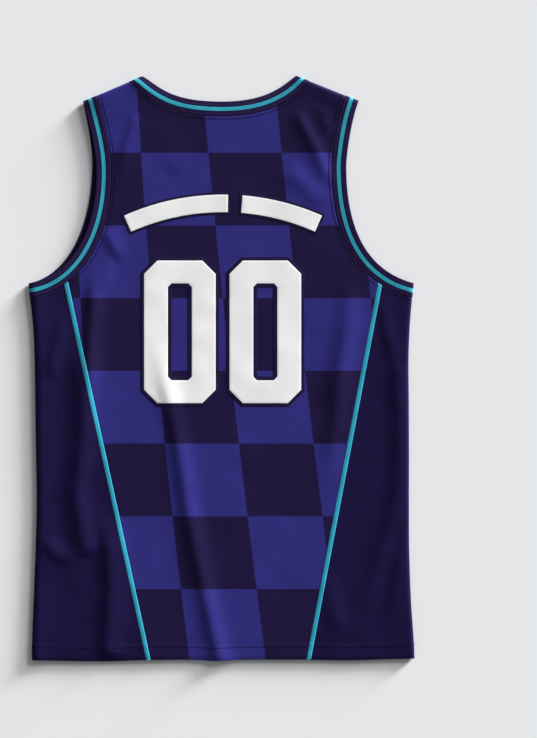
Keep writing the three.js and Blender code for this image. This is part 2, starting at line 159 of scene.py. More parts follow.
def readTable(table, name, at):
    rows, values = (np.array(table[key], float) for key in (next(iter(table)), name))
    slopes = np.gradient(values, rows)
    slopes[1:-1] = (values[2:] - values[:-2]) / (rows[2:] - rows[:-2])
    at = np.clip(at, rows[0], rows[-1])
    i = np.clip(np.searchsorted(rows, at) - 1, 0, len(rows) - 2)
    span = rows[i + 1] - rows[i]
    t = (at - rows[i]) / span
    ends = values[i] * (2 * t**3 - 3 * t**2 + 1) + values[i + 1] * (3 * t**2 - 2 * t**3)
    return ends + span * (slopes[i] * (t**3 - 2 * t**2 + t) + slopes[i + 1] * (t**3 - t**2))


def sideHalf(side, y):
    return readTable(sideRows, side, y)


def pipingHalf(side, layer, y):
    hem, top = sides[side]["piping"][layer]
    return mix(hem, top, (y - cut["hemY"]) / (cut["pipingTopY"] - cut["hemY"]))


def liftHem(points):
    lifted = points.copy()
    stray = readTable(hemRows, "up", points[..., 0])
    lifted[..., 1] += stray * (1 - smooth((points[..., 1] - cut["hemY"]) / cut["hemReach"]))
    return lifted


for side in sides.values():
    side["shoulderIn"] = unit(np.array(side["neckTip"]) - np.array(side["armhole"][-1]))
    side["shoulderOut"] = np.array((side["shoulderIn"][1], -side["shoulderIn"][0]))


def fromTurns(points):
    # how far in a point lies from the side's fold and from the shoulder's
    half, y = np.abs(points[..., 0]), points[..., 1]
    insets = []
    for name, side in sides.items():
        tip, out = side["neckTip"], side["shoulderOut"]
        insets.append((sideHalf(name, y) - half, (tip[0] - half) * out[0] + (tip[1] - y) * out[1]))
    left, right = insets
    return [np.where(points[..., 0] < 0, a, b) for a, b in zip(left, right)]


def insetFromTurn(points):
    return np.minimum(*fromTurns(points))


def turned(points):
    # 0 on the flat, rising to 1 at a folded edge
    atSide, atShoulder = fromTurns(points)
    reach = np.where(points[..., 0] < 0, sides["left"]["turnReach"], sides["right"]["turnReach"])
    return 1 - np.clip(np.minimum(atSide / reach, atShoulder / drape["shoulderReach"]), 0, 1)


def bezier(points, steps=600):
    t = np.linspace(0, 1, steps)[:, None]
    a, b, c, d = (np.array(p, float) for p in points)
    return (1 - t) ** 3 * a + 3 * (1 - t) ** 2 * t * b + 3 * (1 - t) * t**2 * c + t**3 * d


def byLength(line):
    # a line read by the share of its length
    along = np.append(0, np.cumsum(np.hypot(*np.diff(line, axis=0).T)))

    def at(share):
        s = np.clip(share, 0, 1) * along[-1]
        return np.stack([np.interp(s, along, line[:, k]) for k in (0, 1)], axis=-1)

    return at, along[-1]


for side in sides.values():
    curve = side["armhole"]
    side["armholeLine"] = byLength(np.vstack([bezier(curve[:4]), bezier(curve[3:])[1:]]))
    side["neckLine"] = {
        name: byLength(bezier(((0, layer["neckY"]), *side["neck"][name], side["neckTip"])))
        for name, layer in layers.items()
    }
turnLength = 34.0


def stepIn(edgeAt, shares, insets, sign, turns):
    # from an opening's edge into the cloth, turning to run along a folded edge beside it
    nudge = 0.002
    tangent = unit(edgeAt(shares + nudge) - edgeAt(shares - nudge))
    normal = np.stack([tangent[:, 1] * sign, -tangent[:, 0] * sign], axis=-1)
    across, turned = normal, np.zeros(len(shares))
    for along, distance in turns:
        share = 1 - smooth(distance / turnLength)
        across = mix(across, np.array(along), share[:, None])
        turned = np.maximum(turned, share)
    across = unit(across)
    width = mix((across * normal).sum(axis=-1), 1, turned)
    return edgeAt(shares)[:, None] + across[:, None] * (insets[None, :] / width[:, None])[..., None]


def armholeAt(side, layer, shares, insets):
    # shares run from the underarm to the shoulder
    shares, insets = np.atleast_1d(shares).astype(float), np.atleast_1d(insets).astype(float)
    line, length = sides[side]["armholeLine"]

    def edgeAt(share):
        at = np.clip(share, 0, 1)
        if layer == "back":
            return line(at)
        return line(at) + np.sin(np.pi * at)[:, None] * sides[side]["frontShift"]

    underarmY, width = cut["underarmY"], cut["bandWidth"]
    down = unit(np.array((sideHalf(side, underarmY - width) - sideHalf(side, underarmY), -width)))
    turns = ((down, shares * length), (sides[side]["shoulderIn"], (1 - shares) * length))
    points = stepIn(edgeAt, shares, insets, -1, turns)
    points[..., 0] *= sides[side]["sign"]
    return points


def neckAt(layer, shares, insets):
    # shares run from the left neck tip to the right one
    shares, insets = np.atleast_1d(shares).astype(float), np.atleast_1d(insets).astype(float)
    fromMiddle = np.abs(2 * shares - 1)
    halves = []
    for side in sides.values():
        line, length = side["neckLine"][layer]

        def edgeAt(share):
            points = line(np.abs(share))
            points[:, 0] *= np.where(share < 0, -1, 1)
            return points

        turns = ((-side["shoulderIn"], (1 - fromMiddle) * length),)
        halves.append(stepIn(edgeAt, fromMiddle, insets, 1, turns) * (side["sign"], 1))
    return np.where((shares < 0.5)[:, None, None], *halves)


seamInset = cut["bandWidth"] + cut["seamGap"]
pipingClear = cut["pipingWidth"] / 2 + cut["seamGap"]


def seamShareAt(side, layer, beside):
    shares = np.linspace(0, 0.6, 4000)
    seam = armholeAt(side, layer, shares, seamInset)[:, 0]
    past = pipingHalf(side, layer, seam[:, 1]) + beside - np.abs(seam[:, 0])
    return float(np.interp(0, past, shares))


def turnInsets(reach, steps=7):
    # the cloth turns round a folded edge in even steps of angle
    return reach * (1 - np.sin(np.linspace(0, np.pi / 2, steps + 1)))[::-1]


def underarmShares(side, layer, count):
    near = turnInsets(sides[side]["turnReach"]) / sides[side]["armholeLine"][1]
    return np.append(near[:-1], spread(count, near[-1], seamShareAt(side, layer, pipingClear)))


def shoulderShares(side, layer, count):
    near = turnInsets(drape["shoulderReach"]) / sides[side]["armholeLine"][1]
    rising = spread(count, seamShareAt(side, layer, -pipingClear), 1 - near[-1])
    return np.append(rising, 1 - near[:-1][::-1])


def neckShares(layer, count):
    near = turnInsets(drape["shoulderReach"]) / (2 * sides["left"]["neckLine"][layer][1])
    return np.concatenate([near[:-1], spread(count, near[-1], 1 - near[-1]), 1 - near[:-1][::-1]])


def throughPoints(points, samples):
    # a smooth line through the points of a table
    p = np.array(points, float)
    p = np.vstack([2 * p[0] - p[1], p, 2 * p[-1] - p[-2]])
    at = np.linspace(0, len(points) - 1, samples + 1)
    i = np.minimum(at.astype(int), len(points) - 2)
    t = (at - i)[:, None]
    a, b, c, d = p[i], p[i + 1], p[i + 2], p[i + 3]
    bend = (2 * a - 5 * b + 4 * c - d) * t**2 + (3 * (b - c) + d - a) * t**3
    return b + 0.5 * ((c - a) * t + bend)


folds = [
    {"height": height, "west": west, "east": east, "rise": rise, "fall": fall,
     "line": throughPoints(line, foldSamples)}
    for name, height, west, east, rise, fall, line in foldRows
]
waveDraw = np.random.default_rng(drape["rippleSeed"])
waves = [
    {"length": waveDraw.uniform(26, 120), "turn": waveDraw.uniform(0, np.pi),
     "shift": waveDraw.uniform(0, 2 * np.pi)}
    for _ in range(26)
]


def foldHeight(fold, points):
    flat = points.reshape(-1, 2)
    nearest = np.full(len(flat), np.inf)
    share, east = np.zeros(len(flat)), np.zeros(len(flat), bool)
    line = fold["line"]
    for i in range(foldSamples):
        run = line[i + 1] - line[i]
        t = np.clip(((flat - line[i]) @ run) / (run @ run), 0, 1)
        onLine = line[i] + t[:, None] * run
        distance = np.linalg.norm(flat - onLine, axis=1)
        closer = distance < nearest
        nearest = np.where(closer, distance, nearest)
        share = np.where(closer, (i + t) / foldSamples, share)
        east = np.where(closer, flat[:, 0] > onLine[:, 0], east)
    width = np.where(east, fold["east"], fold["west"])
    risen = smooth(share / fold["rise"]) if fold["rise"] else 1
    fallen = smooth((1 - share) / fold["fall"]) if fold["fall"] else 1
    height = fold["height"] * risen * fallen * np.exp(-((nearest / width) ** 2))
    return height.reshape(points.shape[:-1])


def ripples(points):
    x, y = points[..., 0], points[..., 1]
    total = np.zeros(x.shape)
    for wave in waves:
        phase = (x * np.cos(wave["turn"]) + y * np.sin(wave["turn"])) * 2 * np.pi / wave["length"]
        total += wave["length"] * np.sin(phase + wave["shift"])
    return total * drape["ripple"] / math.sqrt(len(waves) / 2) / 2


def aboveHem(points):
    return points[..., 1] - cut["hemY"] - readTable(hemRows, "up", points[..., 0])


def upperHeight(points):
    # middle height of the upper cloth
    inset = np.maximum(insetFromTurn(points), 0)
    swell, reach = (
        np.where(points[..., 0] < 0, sides["left"][key], sides["right"][key])
        for key in ("swell", "swellReach")
    )
    height = drape["restHeight"] + swell * np.exp(-((inset / reach) ** 2))
    height += sum(foldHeight(fold, points) for fold in folds)
    height += ripples(points) * smooth(inset / 12)
    up = aboveHem(points)
    height -= drape["hemDroop"] * np.exp(-((np.maximum(up, 0) / drape["hemDroopReach"]) ** 2))
    return height


def place(points, thickness, layer, edgeHeight=0.0, edgeShare=0.0, onApex=None, gap=0.0):
    # edgeShare takes the upper layer that far to edgeHeight, beside an opening
    low = thickness / 2
    high = mix(upperHeight(points), edgeHeight, edgeShare)
    middle, reach = (high + low) / 2, (high - low) / 2
    z = middle + layers[layer]["bulge"] * np.sqrt(1 - turned(points) ** 2) * reach
    if onApex is not None:
        z = np.where(onApex, middle + gap, z)
    return np.concatenate([points, z[..., None]], axis=-1)


def bodyThickness(points):
    return mix(drape["hem"], drape["cloth"], np.clip((aboveHem(points) - cut["hemDepth"]) / 2, 0, 1))


def hex3(code):
    # sRGB hex to linear
    parts = [int(code[i : i + 2], 16) / 255 for i in (1, 3, 5)]
    return tuple(p / 12.92 if p <= 0.04045 else ((p + 0.055) / 1.055) ** 2.4 for p in parts)


def hex4(code):
    return (*hex3(code), 1.0)


def roundEnds(lattice, axis):
    # lines added beside both ends, where the wall thins to a rounded edge
    lattice = np.moveaxis(lattice, axis, 0)
    edges = []
    for first, second in ((lattice[0], lattice[1]), (lattice[-1], lattice[-2])):
        gap = np.linalg.norm((second - first)[..., :3], axis=-1, keepdims=True)
        lines = []
        for angle in np.radians((14, 40, 65, 90)):
            line = mix(first, second, np.minimum(first[..., 3:4] * (1 - np.cos(angle)) / gap, 0.95))
            line[..., 3] = first[..., 3] * np.sin(angle)
            lines.append(line)
        edges.append(np.stack(lines))
    rounded = np.concatenate([edges[0], lattice[1:-1], edges[1][::-1]])
    return np.moveaxis(rounded, 0, axis)


def wall(name, middle, thickness, uv, material, joined=False):
    # a closed wall round a grid of its middle surface, with rounded edges; uv holds the places
    # along and across the cloth and, where given, the distances from its seams and the places
    # on its print
    half = np.broadcast_to(np.asarray(thickness, float) / 2, middle.shape[:-1])
    lattice = np.concatenate([middle, half[..., None], uv], axis=-1)
    lattice = roundEnds(lattice, 1)
    if not joined:
        lattice = roundEnds(lattice, 0)
    middle, half = lattice[..., :3], lattice[..., 3:4]
    width, height = middle.shape[:2]
    if joined:
        across = np.roll(middle, -1, axis=0) - np.roll(middle, 1, axis=0)
    else:
        across = np.gradient(middle, axis=0)
    normals = unit(np.cross(unit(across), unit(np.gradient(middle, axis=1))))
    points = np.concatenate([middle + normals * half, middle - normals * half]).reshape(-1, 3) * mm
    uvs = lattice[..., 4:]
    if joined:
        step = np.linalg.norm(middle[0] - middle[-1], axis=-1).mean()
        wrap = uvs[:1].copy()
        wrap[..., 0] = uvs[-1:, :, 0] + step
        uvs = np.concatenate([uvs, wrap])
    size, spans, last = width * height, width if joined else width - 1, height - 1
    faces, faceUvs = [], []

    def quads(corners):
        at = np.stack([c[0] * height + c[1] for c in corners], axis=-1).reshape(-1, 4)
        inner = np.array([c[2] for c in corners]) * size
        faces.append(at % size + inner)
        faceUvs.append(uvs.reshape(-1, uvs.shape[-1])[at])

    i, j = np.meshgrid(np.arange(spans), np.arange(last), indexing="ij")
    quads([(i, j, 0), (i + 1, j, 0), (i + 1, j + 1, 0), (i, j + 1, 0)])
    quads([(i, j, 1), (i, j + 1, 1), (i + 1, j + 1, 1), (i + 1, j, 1)])
    i, low, high = np.arange(spans), np.zeros(spans, int), np.full(spans, last)
    quads([(i + 1, low, 0), (i, low, 0), (i, low, 1), (i + 1, low, 1)])
    quads([(i, high, 0), (i + 1, high, 0), (i + 1, high, 1), (i, high, 1)])
    if not joined:
        j, low, high = np.arange(last), np.zeros(last, int), np.full(last, width - 1)
        quads([(low, j, 0), (low, j + 1, 0), (low, j + 1, 1), (low, j, 1)])
        quads([(high, j + 1, 0), (high, j, 0), (high, j, 1), (high, j + 1, 1)])
    mesh = bpy.data.meshes.new(name)
    mesh.from_pydata(points.tolist(), [], np.concatenate(faces).tolist())
    maps = np.concatenate(faceUvs) * mm
    for k, title in enumerate(("Cloth", "Seams", "Checks")[: maps.shape[-1] // 2]):
        mesh.uv_layers.new(name=title).data.foreach_set("uv", maps[..., 2 * k : 2 * k + 2].ravel())
    mesh.shade_smooth()
    mesh.materials.append(material)
    made = bpy.data.objects.new(name, mesh)
    bpy.context.scene.collection.objects.link(made)
    return made


def addNode(tree, kind, inputs=None, **settings):
    # an input is a value, a socket to link, or a node whose first output is linked
    node = tree.nodes.new(kind)
    for name, value in settings.items():
        setattr(node, name, value)
    for name, value in (inputs or {}).items():
        if isinstance(value, bpy.types.Node):
            value = value.outputs[0]
        if isinstance(value, bpy.types.NodeSocket):
            tree.links.new(value, node.inputs[name])
        else:
            node.inputs[name].default_value = value
    return node


def startMaterial(name, roughness, specular, sheen=0.0, sheenTint="#FFFFFF"):
    material = bpy.data.materials.new(name)
    material.use_nodes = True
    tree = material.node_tree
    tree.nodes.clear()
    shader = addNode(tree, "ShaderNodeBsdfPrincipled", {
        "Roughness": roughness, "Specular IOR Level": specular, "IOR": 1.5,
        "Sheen Weight": sheen, "Sheen Roughness": 0.4, "Sheen Tint": hex4(sheenTint),
    })
    addNode(tree, "ShaderNodeOutputMaterial", {"Surface": shader})
    return material, tree, shader


def mapParts(tree, name="Cloth"):
    uv = addNode(tree, "ShaderNodeUVMap", uv_map=name)
    parts = addNode(tree, "ShaderNodeSeparateXYZ", {0: uv})
    return parts.outputs[0], parts.outputs[1]


def shadeColor(tree, color, amount, scale):
    # the dye is never quite even
    cloth = addNode(tree, "ShaderNodeTexCoord").outputs["Object"]
    clouds = addNode(tree, "ShaderNodeTexNoise", {
        "Vector": cloth, "Scale": scale, "Detail": 3.0, "Roughness": 0.55,
    })
    tone = addNode(tree, "ShaderNodeMapRange", {
        "Value": clouds.outputs["Fac"], "From Min": 0.3, "From Max": 0.7,
        "To Min": 1 - amount, "To Max": 1 + amount,
    })
    return addNode(tree, "ShaderNodeHueSaturation", {"Value": tone, "Color": color})


sewing = {
    "stitch": 2.7,
    "pitch": 3.3,
    "thread": 0.4,
    "topstitch": 4.7,  # beside a band's seam
    "hemRows": (17.0, 23.3),  # above the hem's edge
    "hemEnds": (10.0, 6.0),  # how far the hem's rows stop short of the left and right folds
    "neckRun": (0.02, 0.98),  # where the rows start and end, as shares of the seam
    "armholeRun": (0.03, 0.975),
    "seed": 3,
}
# Interlock's loops are about 0.7 mm wide and are drawn a little coarser, so that they show close up
knit = {
    "wale": 1.1,
    "course": 1.0,
    "slant": 1.8,
    "loopDepth": 0.05,
    "seamDepth": 0.35,
    # how dark the painted shade in the grooves of the seams and stitch rows leaves the dye
    "seamPaintedShade": 0.45,
    "dyeSpread": 0.05,
}


def knitHeight(tree):
    # columns of V-shaped loops
    u, v = mapParts(tree)
    across = 2 * math.pi / (knit["wale"] * mm)
    along = 2 * math.pi / (knit["course"] * mm)
    turn = addNode(tree, "ShaderNodeMath", {0: u, 1: across}, operation="MULTIPLY")
    wave = addNode(tree, "ShaderNodeMath", {0: turn}, operation="SINE")
    column = addNode(tree, "ShaderNodeMath", {0: wave}, operation="ABSOLUTE")
    slant = addNode(tree, "ShaderNodeMath", {0: column, 1: knit["slant"]}, operation="MULTIPLY")
    row = addNode(tree, "ShaderNodeMath", {0: v, 1: along, 2: slant}, operation="MULTIPLY_ADD")
    loop = addNode(tree, "ShaderNodeMath", {0: row}, operation="SINE")
    return addNode(tree, "ShaderNodeMath", {0: column, 1: loop}, operation="ADD")


def drawnIn(tree):
    # 0 on the open cloth, rising to 1 where a seam or a row of stitches draws it in
    fromSeam, fromHem = mapParts(tree, "Seams")
    lines = ((fromSeam, 0.0, 1.3, 1.0), (fromSeam, sewing["topstitch"], 1.8, 0.6),
             (fromHem, sewing["hemRows"][0], 1.4, 0.55), (fromHem, sewing["hemRows"][1], 1.2, 0.35))
    total = 0.0
    for distance, at, width, depth in lines:
        past = addNode(tree, "ShaderNodeMath", {0: distance, 1: at * mm}, operation="SUBTRACT")
        away = addNode(tree, "ShaderNodeMath", {0: past}, operation="ABSOLUTE")
        inside = addNode(tree, "ShaderNodeMapRange", {
            "Value": away, "From Min": width * mm, "From Max": 0.0, "To Max": depth,
        }, interpolation_type="SMOOTHSTEP")
        total = addNode(tree, "ShaderNodeMath", {0: inside, 1: total}, operation="ADD")
    return total


def finishKnit(tree, shader, color):
    # uneven dye, painted shade darkening the seams and stitched lines where they draw the cloth in, and
    # the knit's loops
    grooves = drawnIn(tree)
    # painted shade: the dye is darkened along the seams and rows of stitches, standing for the shade in
    # their grooves
    shade = addNode(tree, "ShaderNodeMapRange", {
        "Value": grooves, "To Min": 1.0, "To Max": knit["seamPaintedShade"],
    })
    dyed = shadeColor(tree, color, knit["dyeSpread"], 26)
    final = addNode(tree, "ShaderNodeHueSaturation", {"Value": shade, "Color": dyed})
    tree.links.new(final.outputs[0], shader.inputs["Base Color"])
    loops = addNode(tree, "ShaderNodeBump", {
        "Height": knitHeight(tree), "Distance": knit["loopDepth"] * mm, "Strength": 0.5,
    })
    level = addNode(tree, "ShaderNodeMath", {0: 1.0, 1: grooves}, operation="SUBTRACT")
    seams = addNode(tree, "ShaderNodeBump", {
        "Height": level, "Distance": knit["seamDepth"] * mm, "Strength": 1.0, "Normal": loops,
    })
    tree.links.new(seams.outputs[0], shader.inputs["Normal"])


checks = {
    "pitch": 99.8,
    "rowY": -3.6,  # one of the lines between rows
    "printBlur": 0.45,
    "light": "#2D2A73",
    "dark": "#1C143A",
}
# One of the lines between columns, from the hem up, and the widths of the columns beside it: the
# columns lean to the right on their way down, and the cloth is pulled narrower at the shoulders
columnRows = {
    "y": (-402, -250, -100, 50, 200, 330, 400),
    "x": (60.3, 40.9, 22.9, 6.2, -9.4, -21.9, -28.2),
    "left": (104.8, 103.5, 101.5, 98.8, 95.2, 91.4, 89.1),
    "right": (103.8, 103.1, 102.5, 101.8, 101.1, 100.5, 100.2),
}


def onPrint(points):
    # where a point of the cloth lies on the even checks of the print
    x, y = points[..., 0], points[..., 1]
    across = x - readTable(columnRows, "x", y)
    width = np.where(across < 0, *(readTable(columnRows, side, y) for side in ("left", "right")))
    return np.stack([across * checks["pitch"] / width, y - checks["rowY"]], axis=-1)


def checkedKnit():
    # polyester interlock, dyed by sublimation print: smooth and satin, with soft print edges
    material, tree, shader = startMaterial("SublimatedPolyesterKnit", 0.5, 0.06, 0.01, "#8088C0")
    turn, blur = math.pi / (checks["pitch"] * mm), math.pi * checks["printBlur"] / checks["pitch"]
    flags = []
    for part in mapParts(tree, "Checks"):
        angle = addNode(tree, "ShaderNodeMath", {0: part, 1: turn}, operation="MULTIPLY")
        wave = addNode(tree, "ShaderNodeMath", {0: angle}, operation="SINE")
        flags.append(addNode(tree, "ShaderNodeMapRange", {
            "Value": wave, "From Min": -blur, "From Max": blur,
        }, interpolation_type="SMOOTHSTEP"))
    column, row = flags
    both = addNode(tree, "ShaderNodeMath", {0: column, 1: row}, operation="MULTIPLY")
    either = addNode(tree, "ShaderNodeMath", {0: column, 1: row}, operation="ADD")
    light = addNode(tree, "ShaderNodeMath", {
        0: both, 1: -2.0, 2: either,
    }, operation="MULTIPLY_ADD")
    color = addNode(tree, "ShaderNodeMix", {
        "Factor": light, "A": hex4(checks["dark"]), "B": hex4(checks["light"]),
    }, data_type="RGBA")
    finishKnit(tree, shader, color.outputs["Result"])
    return material


def plainKnit(name, code):
    # the same knit, dyed one colour
    material, tree, shader = startMaterial(name, 0.5, 0.06, 0.01, "#8088C0")
    finishKnit(tree, shader, hex4(code))
    return material


bandStripes = {
    "ground": "#20123A",
    "stripe": "#2E8DA2",
    "shade": "#020C28",
    "outer": 7.75,
    "stripeWidth": 5.35,
    "shadeWidth": 1.5,
    "ribPitch": 1.3,
    "ribDepth": 0.12,
}


def stripedRib():
    # flat-knit rib, matt, with a knitted-in stripe; its ribs run across the band
    material, tree, shader = startMaterial("StripedRibKnit", 0.65, 0.06, 0.01, "#8088C0")
    u, v = mapParts(tree)
    s, width = bandStripes, cut["bandWidth"]
    inwards = addNode(tree, "ShaderNodeMath", {0: v, 1: width * mm}, operation="DIVIDE")
    ramp = addNode(tree, "ShaderNodeValToRGB", {"Fac": inwards})
    stripeEnd = s["outer"] + s["stripeWidth"]
    stops = ((s["outer"] - s["shadeWidth"], s["shade"]), (s["outer"], s["stripe"]),
             (stripeEnd, s["shade"]), (stripeEnd + s["shadeWidth"], s["ground"]))
    ramp.color_ramp.interpolation = "CONSTANT"
    ramp.color_ramp.elements.remove(ramp.color_ramp.elements[1])
    ramp.color_ramp.elements[0].color = hex4(s["ground"])
    for at, code in stops:
        ramp.color_ramp.elements.new(at / width).color = hex4(code)
    dyed = shadeColor(tree, ramp, 0.06, 60)
    tree.links.new(dyed.outputs[0], shader.inputs["Base Color"])
    along = 2 * math.pi / (s["ribPitch"] * mm)
    turn = addNode(tree, "ShaderNodeMath", {0: u, 1: along}, operation="MULTIPLY")
    rib = addNode(tree, "ShaderNodeMath", {0: turn}, operation="SINE")
    raised = addNode(tree, "ShaderNodeBump", {
        "Height": rib, "Distance": s["ribDepth"] * mm, "Strength": 0.7,
    })
    tree.links.new(raised.outputs[0], shader.inputs["Normal"])
    return material


def finishTwill(tree, shader, color, dyeSpread, dyeScale, pitch, depth):
    # nearly even dye over fine diagonal ridges
    dyed = shadeColor(tree, color, dyeSpread, dyeScale)
    tree.links.new(dyed.outputs[0], shader.inputs["Base Color"])
    u, v = mapParts(tree)
    across = addNode(tree, "ShaderNodeMath", {0: u, 1: v}, operation="ADD")
    turn = addNode(tree, "ShaderNodeMath", {
        0: across, 1: 2 * math.pi / (pitch * mm),
    }, operation="MULTIPLY")
    ridges = addNode(tree, "ShaderNodeMath", {0: turn}, operation="SINE")
    raised = addNode(tree, "ShaderNodeBump", {
        "Height": ridges, "Distance": depth * mm, "Strength": 0.5,
    })
    tree.links.new(raised.outputs[0], shader.inputs["Normal"])


def satinTape():
    # woven polyester tape, satin, a little brighter than the cloth
    material, tree, shader = startMaterial("SatinTape", 0.45, 0.1)
    finishTwill(tree, shader, hex4("#2E8FAA"), 0.05, 80, pitch=0.9, depth=0.05)
    return material


def twillFilm(name, code, roughness):
    # heat-pressed polyester twill: matt, tightly woven, laid on the cloth
    material, tree, shader = startMaterial(name, roughness, 0.1)
    finishTwill(tree, shader, hex4(code), 0.015, 40, pitch=0.8, depth=0.04)
    return material


def sewingThread(name, code):
    # spun polyester thread, slightly glossy
    material, tree, shader = startMaterial(name, 0.5, 0.1)
    dyed = shadeColor(tree, hex4(code), 0.1, 300)
    tree.links.new(dyed.outputs[0], shader.inputs["Base Color"])
    return material


materials = {
    "checked": checkedKnit(),
    "plain": plainKnit("DarkPolyesterKnit", "#181039"),
    "rib": stripedRib(),
    "tape": satinTape(),
    "white": twillFilm("WhiteTwillFilm", "#E4E4E4", 0.65),
    "outline": twillFilm("DarkTwillFilm", "#150E33", 0.6),
    "thread": sewingThread("NavyThread", "#150F38"),
}
print("materials made")


def panelRows(top, spacing=3.4, hemSpacing=1.1):
    # close rows over the hem and its stitching, then wider ones
    hem = cut["hemY"] + np.arange(0, cut["hemDepth"] + 5, hemSpacing)
    count = int((top - hem[-1]) / spacing)
    return np.append(hem, np.linspace(hem[-1], top, count + 1)[1:])


panelGrid = {
    "back": {"strap": 14, "neck": 88, "armhole": 86, "rowSpacing": 3.4},
    "front": {"strap": 8, "neck": 44, "armhole": 60, "rowSpacing": 7.0},
}


def fromSeams(points, lines):
    # distance from the nearest band's seam, and height above the hem's edge
    flat, nearest = points.reshape(-1, 2), np.full(points[..., 0].size, np.inf)
    for line in lines:
        for a, b in zip(line[:-1], line[1:]):
            run = b - a
            t = np.clip(((flat - a) @ run) / (run @ run), 0, 1)
            nearest = np.minimum(nearest, np.linalg.norm(flat - a - t[:, None] * run, axis=1))
    return np.stack([nearest.reshape(points.shape[:-1]), aboveHem(points)], axis=-1)


def seamLines(layer):
    shares = np.linspace(0, 1, 121)
    lines = [armholeAt(side, layer, shares, seamInset)[:, 0] for side in sides]
    return [*lines, neckAt(layer, shares, seamInset)[:, 0]]


def centrePanel(layer):
    grid = panelGrid[layer]
    edges = {}
    for side in sides:
        seam = armholeAt(side, layer, shoulderShares(side, layer, grid["armhole"]), seamInset)[:, 0]
        rows = np.linspace(0, 1, len(panelRows(seam[0, 1], grid["rowSpacing"])))
        straightY = panelRows(seam[0, 1], grid["rowSpacing"])
        if side == "right":  # as many rows as on the left
            straightY = np.interp(np.linspace(0, 1, straightCount), rows, straightY)
        straightCount = len(straightY)
        x = sides[side]["sign"] * (pipingHalf(side, layer, straightY) - pipingClear)
        edges[side] = np.vstack([np.stack([x, straightY], axis=-1)[:-1], seam])
    left, right = edges["left"], edges["right"]
    straightTop = left[straightCount - 1, 1]
    neck = neckAt(layer, neckShares(layer, grid["neck"]), seamInset)[:, 0]
    strap = spread(grid["strap"])[:, None]
    top = np.vstack([mix(left[-1], neck[0], strap)[:-1], neck, mix(neck[-1], right[-1], strap)[1:]])
    strapShare = 0.125
    shares = np.concatenate([
        spread(grid["strap"], 0, strapShare)[:-1],
        spread(len(neck) - 1, strapShare, 1 - strapShare),
        spread(grid["strap"], 1 - strapShare, 1)[1:],
    ])
    chord = mix(left[-1], right[-1], shares[:, None])
    pull = np.clip((left[:, 1] - straightTop) / (left[-1, 1] - straightTop), 0, 1)
    points = mix(left[None], right[None], shares[:, None, None])
    points = liftHem(points + (top - chord)[:, None] * pull[None, :, None])
    onApex = np.zeros(points.shape[:2], bool)
    onApex[: grid["strap"] + 1, -1] = onApex[-grid["strap"] - 1 :, -1] = True
    thickness = bodyThickness(points)
    gap = layers[layer]["bulge"] * cut["seamGap"] / 2
    middle = place(points, thickness, layer, onApex=onApex, gap=gap)
    uv = np.concatenate([points, fromSeams(points, seamLines(layer)), onPrint(points)], axis=-1)
    return wall(f"{layer}_panel_cloth", middle, thickness, uv, materials["checked"])


sideGrid = {"upper": 46, "lower": 16, "rowSpacing": 3.6}


def sidePanel(side):
    sign = sides[side]["sign"]
    sideTop = armholeAt(side, "back", 0, seamInset)[0, 0]
    outerRows = panelRows(sideTop[1], sideGrid["rowSpacing"])
    rowShares = (outerRows - outerRows[0]) / (outerRows[-1] - outerRows[0])
    rise = smooth(rowShares)[:, None]

    def column(layer, share, turnInset, inwards):
        corner = armholeAt(side, layer, seamShareAt(side, layer, pipingClear), seamInset)[0, 0]
        hem = outerRows < cut["hemY"] + cut["hemDepth"] + 5
        stretch = (corner[1] - cut["hemY"]) / (sideTop[1] - cut["hemY"])
        innerRows = np.where(hem, outerRows, cut["hemY"] + (outerRows - cut["hemY"]) * stretch)
        seam = armholeAt(side, layer, share, seamInset)[0, 0]
        seamWidth = abs(sideTop[0] - corner[0])
        seamAlong = 1 - mix(turnInset, seamWidth, inwards) / seamWidth
        pulled = seam - mix(corner, sideTop, seamAlong)
        inner = np.stack([sign * (pipingHalf(side, layer, innerRows) + pipingClear), innerRows], axis=-1)
        outer = np.stack([sign * sideHalf(side, outerRows), outerRows], axis=-1)
        width = np.abs(outer[:, 0] - inner[:, 0])
        along = (1 - mix(turnInset, width, inwards) / width)[:, None]
        return liftHem(mix(inner, outer, along) + pulled * rise)

    def half(layer, count):
        shares, near = underarmShares(side, layer, count), turnInsets(sides[side]["turnReach"])
        last = len(near) - 1
        columns = [column(layer, shares[k], near[k], 0) for k in range(1, last)]
        return columns + [
            column(layer, shares[last + k], near[-1], k / count) for k in range(count + 1)
        ]

    upper = np.stack(half("back", sideGrid["upper"])[::-1])
    apex = column("back", 0.0, 0.0, 0)[None]
    lower = np.stack(half("front", sideGrid["lower"]))
    placed, walls, seams = [], [], []
    for points, layer, folded in ((upper, "back", False), (apex, "back", True), (lower, "front", False)):
        thickness = bodyThickness(points)
        placed.append(place(points, thickness, layer, onApex=np.full(points.shape[:2], folded)))
        walls.append(thickness)
        seams.append(fromSeams(points, seamLines(layer)))
    middle = np.concatenate(placed)
    across = np.linalg.norm(np.diff(middle, axis=0), axis=-1).mean(axis=1)
    u = np.broadcast_to(np.append(0, np.cumsum(across))[:, None], middle.shape[:2])
    uv = np.concatenate([u[..., None], middle[..., 1:2], np.concatenate(seams)], axis=-1)
    return wall(f"side_panel_{side}_cloth", middle, np.concatenate(walls), uv, materials["plain"])


